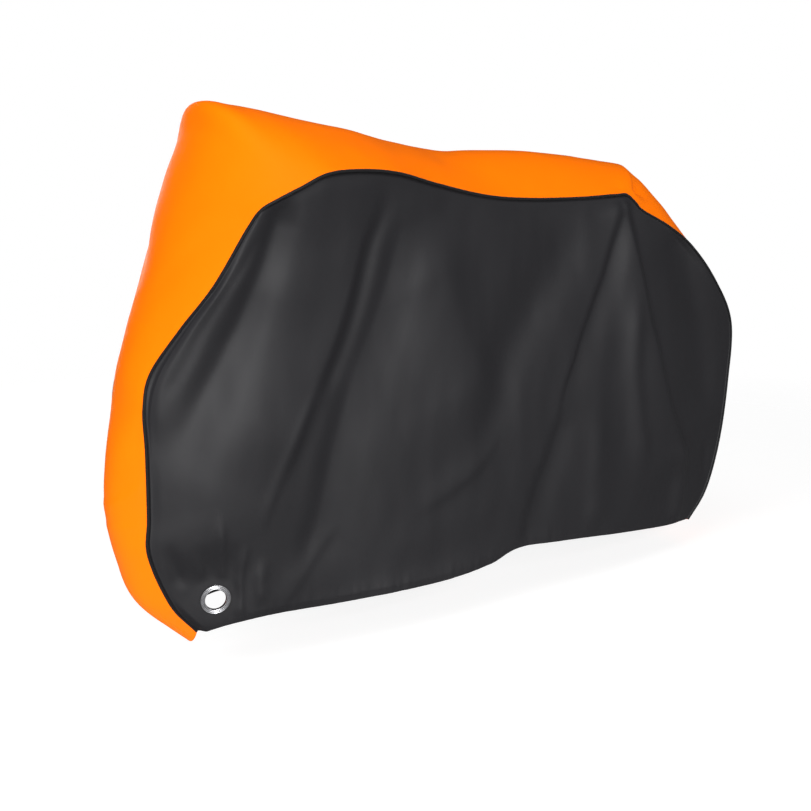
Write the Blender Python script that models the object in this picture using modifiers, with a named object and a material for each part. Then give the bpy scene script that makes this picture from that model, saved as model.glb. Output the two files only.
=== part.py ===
"""Fitted bicycle cover, hollow and open below: a bright centre strip that runs over the nose, the top and
the tail, two dark side panels, dark piping in both seams, and a metal eyelet low at the front of each panel.

+X runs towards the tail, -Y is the near side, +Z is up. The origin is under the middle of the top, on the
inner face of the centre strip, where the cover is carried. Heights in the tables are above the ground."""

import math

import bpy
import numpy as np
from mathutils import Vector

# Driving dimensions, in metres
SHEET = 0.0015  # cloth thickness
GAP = 0.0003  # between pieces that touch
SEAM_GAP = 0.0005  # from the piping to a panel's cut edge
PIPING_RADIUS = 0.0028
ORIGIN_HEIGHT = 1.0565  # the origin above the ground
SEAM_SETBACK = PIPING_RADIUS + SEAM_GAP  # from the seam line to a cut edge

# Grid counts: cells along the top of a panel, down it, and across the strip
TOP_CELLS = 50
DOWN_CELLS = 21
STRIP_CELLS = 8

# One row for each section across the centre strip, from the front hem over the top to the tail hem:
# the strip's middle (x, height), then its seam (x, half width, height)
SECTIONS = [
    # name, mid_x, mid_height, seam_x, seam_half, seam_height
    ("front hem", -0.775, 0.066, -0.775, 0.045, 0.100),
    ("toe", -0.880, 0.172, -0.835, 0.058, 0.177),
    ("toe top", -0.914, 0.262, -0.880, 0.068, 0.293),
    ("nose low", -0.930, 0.345, -0.878, 0.072, 0.363),
    ("nose", -0.924, 0.470, -0.877, 0.076, 0.500),
    ("nose high", -0.900, 0.575, -0.878, 0.077, 0.582),
    ("brow", -0.887, 0.645, -0.863, 0.076, 0.643),
    ("chest low", -0.860, 0.725, -0.815, 0.110, 0.727),
    ("chest", -0.828, 0.805, -0.762, 0.152, 0.810),
    ("chest high", -0.795, 0.905, -0.706, 0.188, 0.918),
    ("front shoulder", -0.758, 1.005, -0.687, 0.206, 0.951),
    ("hump front", -0.724, 1.090, -0.656, 0.217, 0.970),
    ("hump corner", -0.709, 1.146, -0.611, 0.224, 0.991),
    ("hump", -0.655, 1.144, -0.563, 0.225, 1.012),
    ("hump back", -0.535, 1.125, -0.485, 0.214, 1.020),
    ("fall", -0.400, 1.100, -0.379, 0.195, 1.014),
    ("fall low", -0.270, 1.074, -0.262, 0.168, 0.990),
    ("waist", -0.150, 1.060, -0.110, 0.140, 0.963),
    ("middle", 0.000, 1.058, 0.029, 0.120, 0.953),
    ("rear top", 0.180, 1.052, 0.199, 0.110, 0.952),
    ("rear rise", 0.326, 1.035, 0.308, 0.107, 0.956),
    ("peak", 0.436, 1.019, 0.350, 0.105, 0.954),
    ("peak back", 0.464, 0.998, 0.380, 0.103, 0.935),
    ("notch", 0.491, 0.974, 0.401, 0.100, 0.920),
    ("slope", 0.549, 0.923, 0.500, 0.097, 0.878),
    ("slope low", 0.655, 0.826, 0.599, 0.092, 0.822),
    ("tail high", 0.738, 0.735, 0.700, 0.086, 0.730),
    ("tail", 0.800, 0.610, 0.779, 0.080, 0.615),
    ("tail low", 0.812, 0.460, 0.787, 0.074, 0.450),
    ("heel high", 0.792, 0.250, 0.769, 0.068, 0.264),
    ("heel", 0.755, 0.140, 0.731, 0.064, 0.145),
    ("tail hem", 0.700, 0.070, 0.676, 0.060, 0.076),
]

# The free lower edge of a side panel, from the front seam to the tail seam
HEM = [
    # x, half width, height
    (-0.775, 0.045, 0.100),
    (-0.729, 0.070, 0.112),
    (-0.645, 0.093, 0.119),
    (-0.475, 0.100, 0.112),
    (-0.330, 0.110, 0.110),
    (-0.209, 0.115, 0.109),
    (-0.098, 0.120, 0.116),
    (-0.055, 0.120, 0.122),
    (0.008, 0.120, 0.141),
    (0.151, 0.118, 0.132),
    (0.332, 0.110, 0.113),
    (0.491, 0.090, 0.092),
    (0.580, 0.075, 0.081),
    (0.676, 0.060, 0.076),
]

# Where a panel's grid lines meet its top seam and its hem, as shares of their lengths
GRID_LINES = [
    # line, on the top, on the hem
    (0.00, 0.00, 0.00),
    (0.32, 0.31, 0.22),
    (0.80, 0.84, 0.62),
    (1.00, 1.00, 1.00),
]

BELLY = 0.030  # how far the middle of a panel stands outside the flat loft between its edges

# Folds of each panel: the points (x, height) that each runs through, its half width, and how far it
# stands out (+) or sinks in (-)
NEAR_FOLDS = [
    # name, route, half_width, rise
    ("shoulder bump", [(-0.58, 0.930), (-0.49, 0.955)], 0.070, 0.026),
    ("front ridge", [(-0.59, 0.955), (-0.74, 0.650), (-0.86, 0.440)], 0.034, 0.020),
    ("front crease", [(-0.64, 0.930), (-0.79, 0.695), (-0.89, 0.540)], 0.026, -0.016),
    ("front trough", [(-0.41, 0.930), (-0.48, 0.760), (-0.57, 0.590), (-0.68, 0.350)], 0.034, -0.024),
    ("broad belly", [(-0.25, 0.880), (-0.29, 0.690), (-0.32, 0.500)], 0.090, 0.022),
    ("long valley", [(0.13, 0.820), (-0.08, 0.560), (-0.13, 0.390), (-0.32, 0.280)], 0.050, -0.018),
    ("peak crease", [(0.26, 0.930), (0.18, 0.720), (0.11, 0.480), (0.02, 0.220)], 0.024, -0.012),
    ("peak ridge", [(0.31, 0.920), (0.24, 0.700), (0.17, 0.480)], 0.026, 0.010),
    ("tail trough", [(0.34, 0.915), (0.41, 0.710), (0.49, 0.420), (0.60, 0.170)], 0.026, -0.016),
]
FAR_FOLDS = [
    # name, route, half_width, rise
    ("shoulder bump", [(-0.57, 0.935), (-0.48, 0.955)], 0.070, 0.026),
    ("front ridge", [(-0.57, 0.950), (-0.70, 0.640), (-0.79, 0.400)], 0.030, 0.015),
    ("front crease", [(-0.63, 0.920), (-0.77, 0.660), (-0.86, 0.470)], 0.024, -0.014),
    ("front trough", [(-0.38, 0.940), (-0.43, 0.740), (-0.55, 0.480), (-0.60, 0.290)], 0.028, -0.018),
    ("broad belly", [(-0.20, 0.860), (-0.23, 0.660), (-0.20, 0.460)], 0.085, 0.020),
    ("long valley", [(0.19, 0.860), (0.02, 0.600), (-0.08, 0.400), (-0.22, 0.240)], 0.048, -0.017),
    ("peak crease", [(0.29, 0.930), (0.25, 0.700), (0.20, 0.460)], 0.026, -0.013),
    ("tail trough", [(0.36, 0.910), (0.45, 0.680), (0.53, 0.400), (0.58, 0.200)], 0.028, -0.016),
]

# The eyelet's centre on a panel, and the flat patch of cloth that it is set in
EYELET_X = -0.748
EYELET_HALF = 0.082
EYELET_HEIGHT = 0.175
EYELET_SLOPE_X = 0.25  # growth of the half width towards the tail
EYELET_SLOPE_UP = 0.08  # growth of the half width upwards
FLAT_RADIUS = 0.064
BLEND_RADIUS = 0.105
EYELET_HOLE = 0.0215
EYELET_BARREL = 0.0228
EYELET_RIM = 0.0312
EYELET_STEPS = 24
WASHER_THICK = 0.0010

# Colours (linear) and finish
ORANGE = (1.0, 0.22, 0.004, 1.0)
CHARCOAL = (0.030, 0.028, 0.033, 1.0)
BLACK = (0.006, 0.006, 0.007, 1.0)
SILVER = (0.75, 0.75, 0.77, 1.0)


def material(name, colour, roughness, metallic=0.0):
    made = bpy.data.materials.new(name)
    made.use_nodes = True
    shader = made.node_tree.nodes["Principled BSDF"]
    shader.inputs["Base Color"].default_value = colour
    shader.inputs["Roughness"].default_value = roughness
    shader.inputs["Metallic"].default_value = metallic
    made.diffuse_color = colour
    return made


def smooth_rows(rows, steps=16):
    """Rows of numbers joined by cubic curves, `steps` samples to each span."""
    rows = np.array(rows, float)
    spans = np.linalg.norm(np.diff(rows, axis=0), axis=1) ** 0.5
    knots = np.concatenate([[0], np.cumsum(spans)])
    slopes = np.gradient(rows, knots, axis=0)
    made = []
    for i, span in enumerate(spans):
        s = np.linspace(0, 1, steps, endpoint=False)[:, None]
        made.append(
            (2 * s**3 - 3 * s**2 + 1) * rows[i]
            + (s**3 - 2 * s**2 + s) * span * slopes[i]
            + (3 * s**2 - 2 * s**3) * rows[i + 1]
            + (s**3 - s**2) * span * slopes[i + 1]
        )
    made.append(rows[-1:])
    return np.concatenate(made)


def shares_of(points):
    """How far along a path each of its points lies, from 0 to 1."""
    steps = np.linalg.norm(np.diff(points, axis=0), axis=1)
    lengths = np.concatenate([[0], np.cumsum(steps)])
    return lengths / lengths[-1]


def at_shares(rows, shares):
    """The rows of a path read at these shares of its length."""
    own = shares_of(rows)
    return np.stack([np.interp(shares, own, column) for column in rows.T], axis=1)


def smooth_step(values):
    values = np.clip(values, 0, 1)
    return values * values * (3 - 2 * values)


def section_stations():
    """The strip's middle and seam, dense, with the index where each named section lies."""
    steps = 16
    dense = smooth_rows([row[1:] for row in SECTIONS], steps)
    dense[:, [1, 4]] -= ORIGIN_HEIGHT
    index = {row[0]: i * steps for i, row in enumerate(SECTIONS)}
    return dense, index


def seam_sides():
    """The seam as the three runs that bound a side panel, each a set of rows like those of SECTIONS."""
    dense, index = section_stations()
    return {
        "front": dense[: index["front shoulder"] + 1],
        "top": dense[index["front shoulder"] : index["peak"] + 1],
        "back": dense[index["peak"] :],
    }


def seam_of(rows):
    """x, half width and z of the seam in rows like those of SECTIONS."""
    return rows[:, [2, 3, 4]]


def down_shares():
    """Rows of a panel's grid, closer together towards the hem."""
    even = np.linspace(0, 1, DOWN_CELLS + 1)
    return 1.4 * even - 0.4 * even**2


def panel_grid():
    """A side panel's outer face as rows of (x, half width, z), with no folds yet. Its left and right
    edges are the front and back seams, its top edge the top seam, and its lower edge the hem."""
    runs = seam_sides()
    hem = smooth_rows(HEM)
    hem[:, 2] -= ORIGIN_HEIGHT
    lines, on_top, on_hem = np.array(GRID_LINES).T
    across = np.linspace(0, 1, TOP_CELLS + 1)
    down = down_shares()
    top_shares = np.interp(across, *smooth_rows(np.stack([lines, on_top], axis=1)).T)
    hem_shares = np.interp(across, *smooth_rows(np.stack([lines, on_hem], axis=1)).T)
    top = at_shares(seam_of(runs["top"]), top_shares)
    low = at_shares(hem, hem_shares)
    left = at_shares(seam_of(runs["front"])[::-1], down)
    right = at_shares(seam_of(runs["back"]), down)
    u = across[None, :, None]
    v = down[:, None, None]
    grid = (1 - v) * top[None] + v * low[None] + (1 - u) * left[:, None] + u * right[:, None]
    grid -= (1 - u) * (1 - v) * top[0] + u * (1 - v) * top[-1]
    grid -= (1 - u) * v * low[0] + u * v * low[-1]
    grid[..., 1] += BELLY * (np.sin(math.pi * u) * np.sin(math.pi * v))[..., 0] ** 1.3
    return grid


def fold_height(x, z, folds):
    """How far the folds move the cloth outwards at each point."""
    total = np.zeros_like(x)
    for _, route, half_width, rise in folds:
        path = smooth_rows(route, 12)
        path[:, 1] -= ORIGIN_HEIGHT
        shares = shares_of(path)
        away = np.hypot(x[..., None] - path[:, 0], z[..., None] - path[:, 1])
        nearest = away.argmin(axis=-1)
        reach = shares[nearest]
        fade = smooth_step(reach / 0.15 + 0.25) * smooth_step((1 - reach) / 0.30 + 0.10)
        total += rise * fade * np.exp(-((away.min(axis=-1) / half_width) ** 2))
    return total


def eyelet_plane(x, z):
    """Half width of the flat patch round the eyelet, at each point."""
    rise = z + ORIGIN_HEIGHT - EYELET_HEIGHT
    return EYELET_HALF + EYELET_SLOPE_X * (x - EYELET_X) + EYELET_SLOPE_UP * rise


def draped_panel(folds):
    grid = panel_grid()
    x, half, z = grid[..., 0], grid[..., 1], grid[..., 2]
    rows, columns = x.shape
    column = np.arange(columns)
    from_seam = np.minimum(np.arange(rows)[:, None], np.minimum(column, column[::-1])[None, :])
    half = half + smooth_step(from_seam / 2) * fold_height(x, z, folds)
    away = np.hypot(x - EYELET_X, z + ORIGIN_HEIGHT - EYELET_HEIGHT)
    flat = smooth_step((BLEND_RADIUS - away) / (BLEND_RADIUS - FLAT_RADIUS))
    flat[:, 0] = 0
    half = half + flat * (eyelet_plane(x, z) - half)
    return np.stack([x, half, z], axis=-1)


def pull_back(points, inside, amount):
    """Edge points moved by an amount across the edge's own run, towards the points inside."""
    run = np.gradient(points, axis=0)
    run /= np.linalg.norm(run, axis=1)[:, None]
    across = inside - points
    across -= (across * run).sum(axis=1)[:, None] * run
    return points + amount * across / np.linalg.norm(across, axis=1)[:, None]


def seam_loop(rows, columns):
    """Row and column of each grid point on the seam, from the front hem to the tail hem."""
    front = [(r, 0) for r in range(rows - 1, 0, -1)]
    top = [(0, c) for c in range(columns - 1)]
    back = [(r, columns - 1) for r in range(rows)]
    return front + top + back


def inside_of(loop, rows, columns):
    """The grid point next to each edge point, one step in."""
    return [(min(max(r, 1), rows - 2), min(max(c, 1), columns - 2)) for r, c in loop]


def mesh_object(name, points, faces, colour, collection):
    mesh = bpy.data.meshes.new(name)
    mesh.from_pydata([tuple(point) for point in points], [], faces)
    mesh.validate()
    mesh.shade_smooth()
    mesh.set_sharp_from_angle(angle=math.radians(50))
    mesh.materials.append(colour)
    made = bpy.data.objects.new(name, mesh)
    collection.objects.link(made)
    return made


def grid_faces(rows, columns, flipped):
    """Triangles whose diagonals lean the way the folds run."""
    faces = []
    for r in range(rows - 1):
        for c in range(columns - 1):
            here = r * columns + c
            below = here + columns
            for face in ((here, below, here + 1), (here + 1, below, below + 1)):
                faces.append(face[::-1] if flipped else face)
    return faces


def thicken(made):
    solid = made.modifiers.new("Thickness", "SOLIDIFY")
    solid.thickness = SHEET
    solid.offset = -1
    solid.use_even_offset = True


def side_panel(name, side, folds, colour, collection):
    """side is -1 for the near panel and +1 for the far one. Also gives the seam's own points."""
    grid = draped_panel(folds)
    rows, columns = grid.shape[:2]
    grid[..., 1] *= side
    loop = seam_loop(rows, columns)
    seam = np.array([grid[spot] for spot in loop])
    inside = np.array([grid[spot] for spot in inside_of(loop, rows, columns)])
    for spot, point in zip(loop, pull_back(seam, inside, SEAM_SETBACK)):
        grid[spot] = point
    faces = grid_faces(rows, columns, side > 0)
    made = mesh_object(name, grid.reshape(-1, 3), faces, colour, collection)
    thicken(made)
    return made, seam


def arch(seam):
    """The centre strip as rows of points, from the near seam over the middle to the far seam."""
    dense, _ = section_stations()
    own = seam_of(dense)
    measure = np.array([(point[0], abs(point[1]), point[2]) for point in seam])
    nearest = [np.linalg.norm(own - point, axis=1).argmin() for point in measure]
    middle = dense[nearest][:, [0, 1]]
    strip = []
    for across in np.linspace(-1, 1, STRIP_CELLS + 1):
        drop = abs(across) ** 2.2
        x = middle[:, 0] + (measure[:, 0] - middle[:, 0]) * drop
        z = middle[:, 1] + (measure[:, 2] - middle[:, 1]) * drop
        strip.append(np.stack([x, across * measure[:, 1], z], axis=1))
    return np.stack(strip)


def centre_strip(seam, colour, collection):
    grid = arch(seam)
    for edge, inside in ((0, 1), (-1, -2)):
        grid[edge] = pull_back(grid[edge], grid[inside], SEAM_SETBACK)
    rows, columns = grid.shape[:2]
    faces = grid_faces(rows, columns, True)
    made = mesh_object("centre_strip", grid.reshape(-1, 3), faces, colour, collection)
    thicken(made)
    return made


def piping(name, seam, colour, collection):
    curve = bpy.data.curves.new(name, "CURVE")
    curve.dimensions = "3D"
    curve.bevel_depth = PIPING_RADIUS
    curve.bevel_resolution = 1
    curve.use_fill_caps = True
    spline = curve.splines.new("POLY")
    spline.points.add(len(seam) - 1)
    for point, place in zip(spline.points, seam):
        point.co = (*place, 1)
    curve.materials.append(colour)
    made = bpy.data.objects.new(name, curve)
    collection.objects.link(made)
    return made


def turned(name, profile, colour, collection):
    """A closed profile of (radius, height) points turned about Z."""
    mesh = bpy.data.meshes.new(name)
    count = len(profile)
    edges = [(i, (i + 1) % count) for i in range(count)]
    mesh.from_pydata([(radius, 0, height) for radius, height in profile], edges, [])
    mesh.materials.append(colour)
    made = bpy.data.objects.new(name, mesh)
    collection.objects.link(made)
    spin = made.modifiers.new("Turn", "SCREW")
    spin.steps = EYELET_STEPS
    spin.render_steps = EYELET_STEPS
    spin.use_merge_vertices = True
    spin.merge_threshold = 0.00001
    spin.use_smooth_shade = False
    return made


def eyelet_frame(side):
    """The eyelet's centre on the cloth's outer face, and the turn that takes +Z to its outward normal."""
    centre = Vector((EYELET_X, side * EYELET_HALF, EYELET_HEIGHT - ORIGIN_HEIGHT))
    normal = Vector((-EYELET_SLOPE_X, side, -EYELET_SLOPE_UP)).normalized()
    return centre, normal.to_track_quat("Z", "Y")


def place_at_eyelet(made, side):
    centre, turn = eyelet_frame(side)
    made.location = centre
    made.rotation_mode = "QUATERNION"
    made.rotation_quaternion = turn


def eyelet(prefix, side, colour, collection):
    """The flange with its barrel, and the washer behind the cloth."""
    face = GAP
    back = -SHEET - GAP
    flange = [
        (EYELET_HOLE, 0.0012),
        (EYELET_HOLE + 0.0012, 0.0036),
        (EYELET_HOLE + 0.0030, 0.0036),
        (EYELET_HOLE + 0.0044, 0.0022),
        (EYELET_RIM - 0.0032, 0.0022),
        (EYELET_RIM - 0.0018, 0.0032),
        (EYELET_RIM, 0.0018),
        (EYELET_RIM - 0.0012, face),
        (EYELET_BARREL, face),
        (EYELET_BARREL, back - WASHER_THICK),
        (EYELET_HOLE, back - WASHER_THICK),
    ]
    washer = [
        (EYELET_BARREL + GAP, back),
        (EYELET_RIM - 0.0015, back),
        (EYELET_RIM - 0.0015, back - WASHER_THICK),
        (EYELET_BARREL + GAP, back - WASHER_THICK),
    ]
    place_at_eyelet(turned(prefix + "_eyelet", flange, colour, collection), side)
    place_at_eyelet(turned(prefix + "_eyelet_washer", washer, colour, collection), side)


def cut_eyelet_hole(panel, side, helpers):
    bpy.ops.mesh.primitive_cylinder_add(
        vertices=EYELET_STEPS, radius=EYELET_BARREL + 2 * GAP, depth=0.03
    )
    cutter = bpy.context.object
    cutter.name = panel.name + "_hole"
    for held in list(cutter.users_collection):
        held.objects.unlink(cutter)
    helpers.objects.link(cutter)
    cutter.hide_render = True
    cutter.display_type = "WIRE"
    place_at_eyelet(cutter, side)
    cut = panel.modifiers.new("Eyelet hole", "BOOLEAN")
    cut.operation = "DIFFERENCE"
    cut.solver = "EXACT"
    cut.object = cutter


def main():
    for old in list(bpy.data.objects):
        bpy.data.objects.remove(old)
    scene = bpy.context.scene
    cover = bpy.data.collections.new("bicycle_cover")
    helpers = bpy.data.collections.new("cutters")
    scene.collection.children.link(cover)
    scene.collection.children.link(helpers)
    orange = material("orange_cloth", ORANGE, 0.62)
    charcoal = material("charcoal_cloth", CHARCOAL, 0.60)
    black = material("black_piping", BLACK, 0.70)
    silver = material("eyelet_metal", SILVER, 0.22, 1.0)
    for prefix, side, folds in (("near", -1, NEAR_FOLDS), ("far", 1, FAR_FOLDS)):
        panel, seam = side_panel(prefix + "_side_panel", side, folds, charcoal, cover)
        piping(prefix + "_piping", seam, black, cover)
        eyelet(prefix, side, silver, cover)
        cut_eyelet_hole(panel, side, helpers)
    centre_strip(seam, orange, cover)


main()
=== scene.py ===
import math

import bpy
import numpy as np
from mathutils import Matrix, Vector, noise


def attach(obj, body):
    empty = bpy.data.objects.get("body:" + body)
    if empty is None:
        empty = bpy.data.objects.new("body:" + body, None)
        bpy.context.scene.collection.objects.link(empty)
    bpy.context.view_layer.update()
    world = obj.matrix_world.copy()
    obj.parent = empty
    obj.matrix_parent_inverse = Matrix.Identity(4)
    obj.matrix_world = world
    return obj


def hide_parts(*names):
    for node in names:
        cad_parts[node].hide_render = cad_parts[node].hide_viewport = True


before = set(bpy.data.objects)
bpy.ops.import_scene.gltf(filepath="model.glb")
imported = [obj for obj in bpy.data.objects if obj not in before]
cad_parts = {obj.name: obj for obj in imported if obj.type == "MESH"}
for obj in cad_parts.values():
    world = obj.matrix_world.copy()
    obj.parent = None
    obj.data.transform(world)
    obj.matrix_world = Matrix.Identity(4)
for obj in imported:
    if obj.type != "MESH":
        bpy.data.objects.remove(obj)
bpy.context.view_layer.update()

print("frame loaded")


# Shader maths: one socket of a material, with Python's operators
class Wire:
    def __init__(self, tree, socket=None):
        self.tree = tree
        self.socket = socket

    def add(self, kind, settings=None, inputs=None, output=0):  # a node of any kind, as one of its outputs
        node = self.tree.nodes.new(kind)
        for name, value in (settings or {}).items():
            setattr(node, name, value)
        for name, value in (inputs or {}).items():
            if isinstance(value, Wire):
                self.tree.links.new(value.socket, node.inputs[name])
            else:
                node.inputs[name].default_value = value
        return Wire(self.tree, node.outputs[output])

    def maths(self, operation, *values):
        return self.add("ShaderNodeMath", {"operation": operation}, dict(enumerate(values)))

    def __add__(self, other):
        return self.maths("ADD", self, other)

    def __sub__(self, other):
        return self.maths("SUBTRACT", self, other)

    def __rsub__(self, other):
        return self.maths("SUBTRACT", other, self)

    def __mul__(self, other):
        return self.maths("MULTIPLY", self, other)

    __radd__ = __add__
    __rmul__ = __mul__

    def wave(self):
        return self.maths("SINE", self)

    def mix(self, first, second):  # two colours, by this factor
        return self.add("ShaderNodeMix", {"data_type": "RGBA"}, {0: self, 6: first, 7: second}, 2)

    def grain(self, scale, detail, roughness):  # soft noise in this space
        return self.add("ShaderNodeTexNoise", inputs={
            "Vector": self, "Scale": scale, "Detail": detail, "Roughness": roughness,
        })

    def bump(self, strength, distance, below=None):  # this height, on top of another bump
        inputs = {"Strength": strength, "Distance": distance, "Height": self}
        if below:
            inputs["Normal"] = below
        return self.add("ShaderNodeBump", inputs=inputs)


def newMaterial(name, fixed):
    made = bpy.data.materials.new(name)
    made.use_nodes = True
    shader = made.node_tree.nodes["Principled BSDF"]
    for socket, value in fixed.items():
        shader.inputs[socket].default_value = value
    return made, Wire(made.node_tree), shader


def plug(wire, shader, socket):
    wire.tree.links.new(wire.socket, shader.inputs[socket])


# Cloth: a woven polyester. Its map "cloth" is in metres along and across the piece.
clothGrain = {
    "clouds": (3.2, 3.0, 0.55),  # scale, detail and roughness of each grain
    "threads": (420.0, 2.0, 0.5),
    "rumples": (38.0, 3.0, 0.5),
    "shares": (0.75, 0.15, 0.10),  # of clouds, threads and weave in the colour
    "pitch": 0.0009,
    "weave": (0.25, 0.0002),  # strength and depth of each bump
    "rumple": (0.10, 0.002),
}
orangeLook = {
    "dark": (0.92, 0.150, 0.000, 1), "light": (1.0, 0.200, 0.000, 1),
    "gloss": 0.08, "rough": 0.60, "uneven": 0.10,
}
charcoalLook = {
    "dark": (0.0075, 0.0071, 0.0088, 1), "light": (0.0115, 0.0110, 0.0134, 1),
    "gloss": 0.56, "rough": 0.57, "uneven": 0.08,
}


def clothMaterial(name, look):
    made, tree, shader = newMaterial(name, {"Specular IOR Level": look["gloss"]})
    flat = tree.add("ShaderNodeUVMap", {"uv_map": "cloth"})
    space = tree.add("ShaderNodeTexCoord", output=3)
    turns = 2 * math.pi / clothGrain["pitch"]
    warp, weft = [
        (tree.add("ShaderNodeSeparateXYZ", inputs={0: flat}, output=way) * turns).wave() for way in (0, 1)
    ]
    weave = warp * weft * 0.5 + 0.5
    clouds = space.grain(*clothGrain["clouds"])
    cloudShare, threadShare, weaveShare = clothGrain["shares"]
    tone = clouds * cloudShare + flat.grain(*clothGrain["threads"]) * threadShare + weave * weaveShare
    plug(tone.mix(look["dark"], look["light"]), shader, "Base Color")
    plug(clouds * look["uneven"] + (look["rough"] - look["uneven"] / 2), shader, "Roughness")
    rumples = space.grain(*clothGrain["rumples"])
    plug(rumples.bump(*clothGrain["rumple"], below=weave.bump(*clothGrain["weave"])), shader, "Normal")
    return made


# Piping, thread and metal: one grain sets the colour, the roughness and the bump
cordGrain = {"grain": (900.0, 2.0, 0.5), "uneven": 0.2, "bump": (0.3, 0.0003)}
pipingLook = {
    "dark": (0.003, 0.003, 0.0035, 1), "light": (0.008, 0.008, 0.009, 1), "rough": 0.55,
    "fixed": {"Specular IOR Level": 0.3, "Sheen Weight": 0.05}, **cordGrain,
}
darkThreadLook = {
    "dark": (0.008, 0.008, 0.009, 1), "light": (0.022, 0.021, 0.024, 1), "rough": 0.45,
    "fixed": {"Specular IOR Level": 0.4, "Sheen Weight": 0.1}, **cordGrain,
}
orangeThreadLook = {
    **darkThreadLook, "dark": (0.70, 0.12, 0.002, 1), "light": (0.95, 0.22, 0.006, 1),
}
metalLook = {
    "dark": (0.60, 0.60, 0.62, 1), "light": (0.80, 0.80, 0.82, 1), "rough": 0.30,
    "fixed": {"Metallic": 1.0}, "grain": (260.0, 4.0, 0.6), "uneven": 0.14, "bump": (0.08, 0.0002),
}


def grainyMaterial(name, look):
    made, tree, shader = newMaterial(name, look["fixed"])
    grain = tree.add("ShaderNodeTexCoord", output=3).grain(*look["grain"])
    plug(grain.mix(look["dark"], look["light"]), shader, "Base Color")
    plug(grain * look["uneven"] + look["rough"], shader, "Roughness")
    plug(grain.bump(*look["bump"]), shader, "Normal")
    return made


orangeCloth = clothMaterial("orangeCloth", orangeLook)
charcoalCloth = clothMaterial("charcoalCloth", charcoalLook)
blackPiping = grainyMaterial("blackPiping", pipingLook)
darkThread = grainyMaterial("darkThread", darkThreadLook)
orangeThread = grainyMaterial("orangeThread", orangeThreadLook)
eyeletMetal = grainyMaterial("eyeletMetal", metalLook)
print("materials made")


# Curves and shares
def smoothRows(rows, steps=16):
    rows = np.array(rows, float)
    spans = np.linalg.norm(np.diff(rows, axis=0), axis=1) ** 0.5
    knots = np.concatenate([[0], np.cumsum(spans)])
    slopes = np.gradient(rows, knots, axis=0)
    made = []
    for i, span in enumerate(spans):
        s = np.linspace(0, 1, steps, endpoint=False)[:, None]
        made.append(
            (2 * s**3 - 3 * s**2 + 1) * rows[i]
            + (s**3 - 2 * s**2 + s) * span * slopes[i]
            + (3 * s**2 - 2 * s**3) * rows[i + 1]
            + (s**3 - s**2) * span * slopes[i + 1]
        )
    made.append(rows[-1:])
    return np.concatenate(made)


def lengthsOf(points):
    steps = np.linalg.norm(np.diff(points, axis=0), axis=1)
    return np.concatenate([[0], np.cumsum(steps)])


def atPlaces(rows, own, wanted):  # the rows' values at the wanted places, where own holds each row's place
    return np.stack([np.interp(wanted, own, column) for column in rows.T], axis=1)


def atShares(rows, shares):
    own = lengthsOf(rows)
    return atPlaces(rows, own / own[-1], shares)


def smoothStep(values):
    values = np.clip(values, 0, 1)
    return values * values * (3 - 2 * values)


def unit(vectors):
    return vectors / np.maximum(np.linalg.norm(vectors, axis=-1, keepdims=True), 1e-12)


def gridNormals(grid):  # of rows x columns x 3
    down, right = np.gradient(grid, axis=(0, 1))
    return unit(np.cross(down, right))


def softNoise(points, size, seed):  # smooth, from -1 to 1, one value for each point
    flat = (points / size).reshape(-1, 3)
    values = [noise.noise(Vector(p) + Vector((seed, seed * 1.7, -seed))) for p in flat]
    return np.array(values).reshape(points.shape[:-1])


# Folds: how far the cloth moves outwards at each point of a plane, from a table of routes in that plane.
# A fold has its own width to the left and to the right of its route.
def nearRoute(x, z, route):
    path = smoothRows(route, 8)
    length = lengthsOf(path)[-1]
    shares = lengthsOf(path) / length
    away = np.full(x.shape, np.inf)
    side = np.zeros(x.shape)
    reach = np.zeros(x.shape)
    for start, step, low, high in zip(path[:-1], np.diff(path, axis=0), shares[:-1], shares[1:]):
        t = np.clip(((x - start[0]) * step[0] + (z - start[1]) * step[1]) / (step @ step), 0, 1)
        offX = x - start[0] - t * step[0]
        offZ = z - start[1] - t * step[1]
        here = np.hypot(offX, offZ)
        closer = here < away
        away = np.where(closer, here, away)
        side = np.where(closer, np.sign(step[1] * offX - step[0] * offZ), side)
        reach = np.where(closer, low + t * (high - low), reach)
    return away, side, reach, length


def foldHeights(x, z, folds):
    total = np.zeros_like(x)
    for _, route, left, right, rise, sharp, (grow, end) in folds:
        away, side, reach, length = nearRoute(x, z, route)
        leftWidth = left[0] + (left[1] - left[0]) * reach
        rightWidth = right[0] + (right[1] - right[0]) * reach
        width = np.where(side < 0, rightWidth, leftWidth)
        fade = smoothStep(reach * length / grow) * smoothStep((1 - reach) * length / end)
        total += rise * fade * np.exp(-((away / width) ** sharp))
    return total


# The cover's outline. Heights are above the ground, in metres.
cover = {
    "groundToTop": 1.0565,
    "thickness": 0.0008,
    "pipingRadius": 0.0026,
    "seamBack": 0.0036,  # from the seam to where the cloth starts to turn into it
    "seamRound": 0.0013,
    "seamTurns": (0.55, 1.10, math.pi / 2),  # angles at which the round has a row of points
    "seamAllowance": 0.009,
    "seamDepths": (0.45, 1.0),  # shares of the allowance that have a row
    "hemRound": 0.0011,
    "hemTurns": (0.6, 1.2, 1.94, 2.54),
    "hemWidth": 0.018,
    "hemDepths": (0.0, 0.2, 0.45, 0.7, 0.85, 1.0),
    "stitchLine": 0.015,
}
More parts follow.
